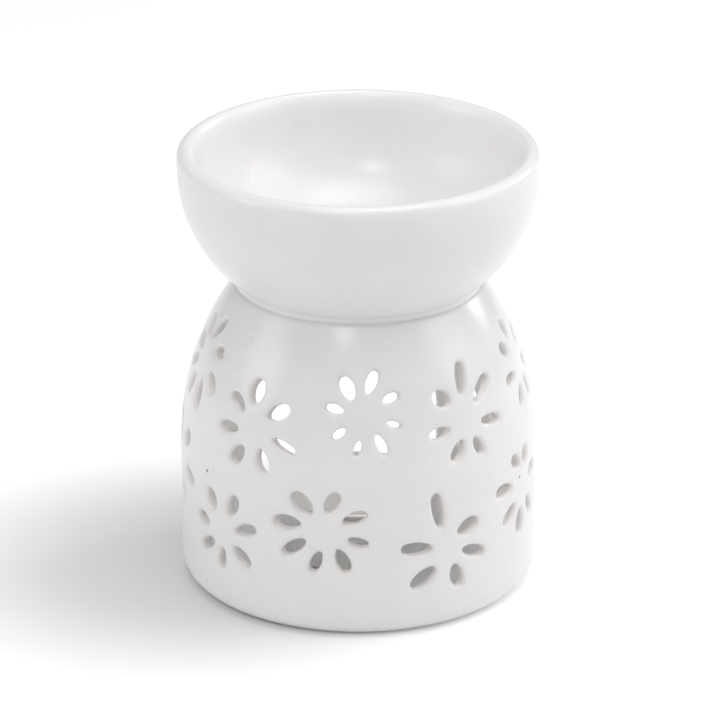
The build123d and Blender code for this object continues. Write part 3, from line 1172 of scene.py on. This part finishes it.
def drawn_foil():
    """Bright foil with faint streaks up the wall and a duller bloom in places."""
    finish = Finish("drawn_foil", {"Metallic": 1.0})
    streaks = finish.noise(0.5 * mm, detail=2, stretch=(1, 1, 0.06))
    bloom = finish.noise(6 * mm, detail=2)
    return finish.end(
        Base_Color=finish.mix(bloom.between(0.4, 0.7), foil_bright, foil_dull),
        Roughness=0.36 + streaks * 0.12 + bloom * 0.08,
        Normal=finish.bump(streaks * 0.012 + bloom * 0.05),
    )


def tinned_steel():
    """Dull tinned steel with the small scratches of its stamping."""
    finish = Finish("tinned_steel", {"Metallic": 1.0})
    scratches = finish.noise(0.4 * mm, detail=4)
    return finish.end(
        Base_Color=finish.mix(scratches.between(0.4, 0.6), tin_bright, tin_dull),
        Roughness=0.3 + scratches * 0.2,
        Normal=finish.bump(scratches * 0.012),
    )


foil, tin = drawn_foil(), tinned_steel()
print("metals", foil.name, tin.name)

# %% Mix the wax's and the cotton's finishes
wax_white = colour(0.93, 0.92, 0.88)
wax_creamy = colour(0.9, 0.885, 0.84)
wax_depth = {
    "Subsurface Weight": 0.35,
    "Subsurface Scale": 1.6 * mm,
    "Subsurface Radius": (1, 0.8, 0.62),
}
cotton_shaded = colour(0.80, 0.77, 0.69)
cotton_white = colour(0.93, 0.91, 0.86)


def candle_wax():
    """White wax that light enters, with a faint bloom where it cooled first."""
    finish = Finish("candle_wax", {"IOR": 1.44} | wax_depth)
    clouds = finish.noise(5 * mm, detail=3)
    crumbs = finish.noise(0.6 * mm, detail=2)
    return finish.end(
        Base_Color=finish.mix(clouds.between(*cloudy), wax_white, wax_creamy),
        Roughness=0.36 + clouds * 0.16,
        Normal=finish.bump(clouds * 0.12 + crumbs * 0.01),
    )


def waxed_cotton():
    """Cotton strands that wax has stiffened, with fibres along their length."""
    finish = Finish("waxed_cotton", {"Sheen Weight": 0.2})
    fibres = finish.noise(0.14 * mm, detail=3, stretch=(1, 1, 0.3))
    return finish.end(
        Base_Color=finish.mix(fibres.between(0.3, 0.7), cotton_shaded, cotton_white),
        Roughness=0.62 + fibres * 0.25,
        Normal=finish.bump(fibres * 0.05),
    )


wax_finish, cotton = candle_wax(), waxed_cotton()
print("soft finishes", wax_finish.name, cotton.name)

# %% [markdown]
# ## The tealight's cup
#
# The cup is pressed from foil so thin that its wall has to be fluted to stand up, and its rim
# is rolled over outwards so that it doesn't cut fingers. An array of folded strips could
# make the flutes, but turning the cup and pressing every ring in and out a little as it is
# laid keeps it one closed skin, smooth from the flat bottom into the flutes.

# %% Press the cup
cup_low, cup_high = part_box("tealight_cup")
cup_base_height = cup_low.z
cup_top = cup_high.z
cup_base_radius = 18.3 * mm
cup_wall = 0.4 * mm
cup_corner = 1.2 * mm
cup_bead = 0.5 * mm
cup_rim_radius = cup_high.x - cup_bead
cup_foot = cup_base_radius - cup_corner
cup_turn_height = cup_base_height + cup_corner
cup_inside_height = cup_base_height + cup_wall
cup_press = 0.2 * mm
cup_around = 336
flutes = 56
flute_depth = 0.26 * mm
flute_fade = 1.6 * mm


def eased(share):
    """A smooth step from 0 to 1."""
    share = np.clip(share, 0, 1)
    return share * share * (3 - 2 * share)


def fluted(direction, out, height):
    """Presses the upright wall into flutes that fade towards the base and the rim."""
    rise = eased((height - cup_base_height - cup_corner / 2) / flute_fade)
    fall = eased((cup_top - cup_bead * 2 - height) / flute_fade)
    upright = eased((out - cup_base_radius + cup_corner) / cup_corner)
    wave = 0.5 - 0.5 * np.cos(flutes * direction)
    return out - flute_depth * wave * rise * fall * upright, height


def wall_steps(start, end, steps):
    """Points up or down the wall, both ends left out."""
    start, end = np.array(start), np.array(end)
    return [tuple(start + (end - start) * step / steps) for step in range(1, steps)]


def cup_outline():
    bead_low = cup_top - cup_bead * 2
    inner_foot = (cup_base_radius - cup_wall, cup_turn_height)
    inner_top = (cup_rim_radius - cup_wall, cup_top - cup_wall)
    corner = (cup_foot, cup_turn_height)
    outline = flat_steps(cup_foot, cup_base_height + cup_press, (0.0, 0.3, 0.6, 0.78, 0.84))
    outline += flat_steps(cup_foot, cup_base_height, (0.88, 0.94))
    outline += rounded_corner(corner, cup_corner, -90, 0, 6)
    outline += wall_steps((cup_base_radius, cup_turn_height), (cup_rim_radius, bead_low), 14)
    outline += rounded_corner((cup_rim_radius, cup_top - cup_bead), cup_bead, -90, 90, 10)
    outline += rounded_corner((cup_rim_radius, cup_top - cup_wall), cup_wall, 90, 180, 4)[1:]
    outline += wall_steps(inner_top, inner_foot, 14)
    outline += rounded_corner(corner, cup_corner - cup_wall, 0, -90, 5)
    outline += flat_steps(cup_foot, cup_inside_height, (0.88,))
    return outline + flat_steps(cup_foot, cup_inside_height + cup_press, (0.84, 0.5, 0.2, 0.0))


cup = turned_piece("foil_cup", cup_outline(), cup_around, foil, fluted)
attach(cup, "tealight")
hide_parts("tealight_cup")

# %% [markdown]
# ## The wax
#
# Wax is poured in hot. It climbs the foil and the wick a little, and sinks between them as
# it cools. It fills the flutes, so the same pressing shapes its side. The surface could be
# sculpted by hand, but the sink and the two small climbs are plain enough for a sum.

# %% Pour the wax
wax_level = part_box("tealight_wax")[1].z
wax_climb = 0.45 * mm
climb_reach = 1.1 * mm
wax_sink = 0.5 * mm
wax_swirl = 0.06 * mm
swirls = 3
swirl_turn = 0.6
wax_overlap = 0.06 * mm
wick_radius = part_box("tealight_wick")[1].x
cup_slope = (cup_rim_radius - cup_base_radius) / (cup_top - cup_base_height)
wax_edge = cup_base_radius - cup_wall + cup_slope * (wax_level - cup_base_height)


def poured(direction, out, height):
    """Lets the wax climb the foil and the wick, sink between them and fill the flutes."""
    share = np.clip(out / wax_edge, 0, 1)
    on_top = eased((height - wax_level + cup_corner) / cup_corner)
    climb_foil = np.exp(-(wax_edge - out) / climb_reach * 2)
    climb_wick = np.exp(-(out - wick_radius) / climb_reach * 2)
    climbs = wax_climb * (climb_foil + climb_wick)
    sink = wax_sink * np.sin(math.pi * share) ** 2
    swirl = wax_swirl * np.sin(swirls * direction + out / mm * swirl_turn) * share * (1 - share)
    lifted_height = height + on_top * (climbs - sink + swirl)
    return fluted(direction, out, height)[0], lifted_height


def wax_outline():
    side_foot = cup_base_radius - cup_wall + wax_overlap
    side_top = wax_edge + wax_overlap
    corner = cup_corner - cup_wall + wax_overlap
    outline = flat_steps(cup_foot, cup_inside_height + cup_press, (0.0, 0.5))
    outline += rounded_corner((cup_foot, cup_turn_height), corner, -90, 0, 5)
    outline += wall_steps((side_foot, cup_turn_height), (side_top, wax_level), 10)
    tops = [side_top] + [wax_edge - climb_reach * share for share in (0.1, 0.3, 0.55, 0.9, 1.4)]
    tops += [wax_edge * share for share in (0.8, 0.68, 0.55, 0.42, 0.3, 0.2)]
    tops += [wick_radius + climb_reach * share for share in (1.3, 0.8, 0.45, 0.2, 0.0)]
    return outline + [(out, wax_level) for out in (*tops, wick_radius / 2, 0)]


wax = turned_piece("poured_wax", wax_outline(), cup_around, wax_finish, poured)
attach(wax, "tealight")
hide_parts("tealight_wax")

# %% [markdown]
# ## The sustainer and the wick
#
# A tin disc on the cup's bottom keeps the wick upright after the wax has melted. Its ferrule
# is crimped on the wick from four sides. The wick is a flat braid of three strands. Curves
# with a round bevel could draw the strands too, but rings laid along each strand's path
# make closed ends without another step.

# %% Stamp the sustainer
sustainer_low, sustainer_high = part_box("wick_sustainer")
sustainer_radius = sustainer_high.x
sustainer_base = sustainer_low.z
tin_around = 96
disc_thickness = 0.4 * mm
ferrule_radius = 1.5 * mm
ferrule_wall = 0.35 * mm
ferrule_reach = ferrule_radius * 1.6
crimp_depth = 0.28 * mm
crimp_spread = 0.7 * mm
crimp_fade = 0.5 * mm
crimp_sharpness = 3
crimps = 4


def crimped(direction, out, height):
    """Presses the ferrule in from four sides at its middle."""
    middle = (sustainer_base + disc_thickness + sustainer_high.z) / 2
    near_middle = np.exp(-(((height - middle) / crimp_spread) ** 2))
    on_ferrule = eased((ferrule_reach - out) / crimp_fade)
    side = (0.5 + 0.5 * np.cos(crimps * direction)) ** crimp_sharpness
    return out - crimp_depth * near_middle * on_ferrule * side, height


def sustainer_outline():
    edge_round = disc_thickness / 2
    top = sustainer_base + disc_thickness
    above = top + edge_round
    middle = sustainer_base + edge_round
    bore = ferrule_radius - ferrule_wall
    bore_foot = (bore, sustainer_base + edge_round / 2)
    half_wall = ferrule_wall / 2
    bead = sustainer_high.z - half_wall
    outline = [bore_foot, (ferrule_radius * 1.3, sustainer_base)]
    outline += flat_steps(sustainer_radius, sustainer_base, (0.5, 0.8))
    outline += rounded_corner((sustainer_radius - edge_round, middle), edge_round, -90, 90, 6)
    outline += flat_steps(sustainer_radius, top, (0.85, 0.6, 0.45))
    outline += rounded_corner((ferrule_radius + edge_round, above), edge_round, -90, -180, 4)
    outline += wall_steps((ferrule_radius, above), (ferrule_radius, bead), 8)
    outline += rounded_corner((ferrule_radius - half_wall, bead), half_wall, 0, 180, 6)
    return outline + wall_steps((bore, bead), bore_foot, 8)


sustainer = turned_piece("tin_sustainer", sustainer_outline(), tin_around, tin, crimped)
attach(sustainer, "tealight")
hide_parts("wick_sustainer")

# %% Braid the wick
wick_low, wick_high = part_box("tealight_wick")
strand_radius = 0.34 * mm
braid_width = 0.44 * mm
braid_depth = 0.2 * mm
braid_pitch = 3.4 * mm
strand_sides = 12
strand_step = 0.22 * mm
strands = 3

# A strand's end: how far past the path's end, and how wide, as shares of its radius.
strand_end = ((1.0, 0.0), (0.85, 0.53), (0.5, 0.87))


def add_strand(clay, shift):
    """One strand of the braid, as rings square to its path with a rounded end."""
    height = np.arange(wick_low.z + strand_radius, wick_high.z - strand_radius, strand_step)
    phase = 2 * math.pi * height / braid_pitch + shift
    path = np.stack((braid_width * np.sin(phase), braid_depth * np.sin(2 * phase), height), -1)
    ahead = np.gradient(path, axis=0)
    ahead /= np.linalg.norm(ahead, axis=1)[:, None]
    sideways = np.cross(ahead, (0, 1, 0))
    sideways /= np.linalg.norm(sideways, axis=1)[:, None]
    other = np.cross(ahead, sideways)
    turn = np.linspace(0, 2 * math.pi, strand_sides, endpoint=False)
    loops = []
    steps = [(0, -past, wide) for past, wide in strand_end]
    steps += [(spot, 0.0, 1.0) for spot in range(len(path))]
    steps += [(-1, past, wide) for past, wide in reversed(strand_end)]
    for spot, along, wide in steps:
        centre = path[spot] + ahead[spot] * strand_radius * along
        if wide == 0:
            loops.append(clay.add(centre[None], far_from_cut))
            continue
        round_it = sideways[spot] * np.cos(turn)[:, None] + other[spot] * np.sin(turn)[:, None]
        loops.append(clay.add(centre + round_it * strand_radius * wide, far_from_cut))
    for first, second in zip(loops, loops[1:]):
        if len(first) == len(second):
            clay.bridge(first, second)
        elif len(first) == 1:
            clay.fan(second, first)
        else:
            clay.fan(first, second)


braid = Clay()
for strand in range(strands):
    add_strand(braid, 2 * math.pi * strand / strands)
wick = braid.piece("braided_wick", cotton)
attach(wick, "tealight")
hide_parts("tealight_wick")

# %% [markdown]
# ## The floor and the light
#
# The burner stands on a white sweep in a white room. Big soft lamps on the right and above
# make the right side bright and throw a pale shadow to the left, and a small lamp close
# under the bowl shines down into the chamber, so that it isn't black behind the flowers.
# The floor has to look pure white away from the burner, without more light on it, so it
# adds a glow that only the camera, glossy and clear rays see. The glow grows with the
# distance from the middle of the shadow on the left, so the shadow keeps its depth.

# %% Lay the white floor
floor_size = 3.0
floor_white = colour(0.88, 0.88, 0.88)
floor_glow = 0.32
shadow_middle = (-38 * mm, 2 * mm, 0)
glow_start = 26 * mm
glow_full = 88 * mm


def white_floor():
    """A white sweep that looks as white as the room, with the burner's shadow on it."""
    finish = bpy.data.materials.new("white_sweep")
    nodes = Nodes(finish)
    nodes.tree.nodes.clear()
    camera_ray, gloss_ray, clear_ray = (
        nodes.node("ShaderNodeLightPath", {}, {}, f"Is {ray} Ray")
        for ray in ("Camera", "Glossy", "Transmission")
    )
    mirrored = nodes.maths("MAXIMUM", gloss_ray, clear_ray)
    share = nodes.apart(shadow_middle).between(glow_start, glow_full)
    plain = nodes.node("ShaderNodeBsdfDiffuse", {}, {"Color": floor_white})
    glow = nodes.node("ShaderNodeEmission", {}, {"Strength": floor_glow, "Color": share})
    both = nodes.node("ShaderNodeAddShader", {}, {0: plain, 1: glow})
    nodes.choose("Material", nodes.maths("MAXIMUM", camera_ray, mirrored), plain, both)
    form = bmesh.new()
    bmesh.ops.create_grid(form, x_segments=8, y_segments=8, size=floor_size / 2)
    mesh = bpy.data.meshes.new("floor")
    form.to_mesh(mesh)
    form.free()
    mesh.materials.append(finish)
    floor = bpy.data.objects.new("floor", mesh)
    floor.location.z = cad_low.z
    scene.collection.objects.link(floor)


white_floor()
print("floor", floor_size, "m wide")

# %% Whiten the room
room_white = colour(1, 1, 1)
room_light = colour(0.965, 0.955, 0.985)
room_strength = 0.40


def white_room():
    """A white room all round, dimmer as a light than it looks."""
    world = bpy.data.worlds.new("white_room")
    nodes = Nodes(world)
    nodes.tree.nodes.clear()
    camera_ray = nodes.node("ShaderNodeLightPath", {}, {}, "Is Camera Ray")
    inputs = {"Color": room_light, "Strength": room_strength}
    light = nodes.node("ShaderNodeBackground", {}, inputs)
    seen = nodes.node("ShaderNodeBackground", {}, {"Color": room_white})
    nodes.choose("World", camera_ray, light, seen)
    scene.world = world


white_room()
print("room's strength as a light", room_strength)

# %% Hang the lamps
lamps = (
    # name, direction round the burner from the front towards +X, elevation, distance, width, power
    ("right_window", 75, 28, 0.95, 0.60, 1.4),
    ("right_skylight", 84, 62, 1.00, 1.00, 1.9),
    ("front_window", -20, 48, 1.00, 0.22, 0.80),
    ("back_window", 118, 18, 0.95, 0.26, 1.1),
    ("ceiling", 20, 84, 1.00, 0.70, 2.6),
    ("left_window", -80, 20, 1.10, 0.60, 1.7),
    ("under_bowl", 0, 90, 0.018, 0.03, 0.005),
)


def soft_lamp(name, direction, elevation, distance, width, power):
    towards = seen_from(direction, elevation)
    data = bpy.data.lights.new(name, "AREA")
    data.shape = "DISK"
    data.size = width
    data.energy = power
    lamp = bpy.data.objects.new(name, data)
    lamp.location = aim + towards * distance
    lamp.rotation_mode = "QUATERNION"
    lamp.rotation_quaternion = towards.to_track_quat("Z", "Y")
    scene.collection.objects.link(lamp)


for settings in lamps:
    soft_lamp(*settings)
scene.view_settings.view_transform = "Standard"
print("lamps", [settings[0] for settings in lamps])
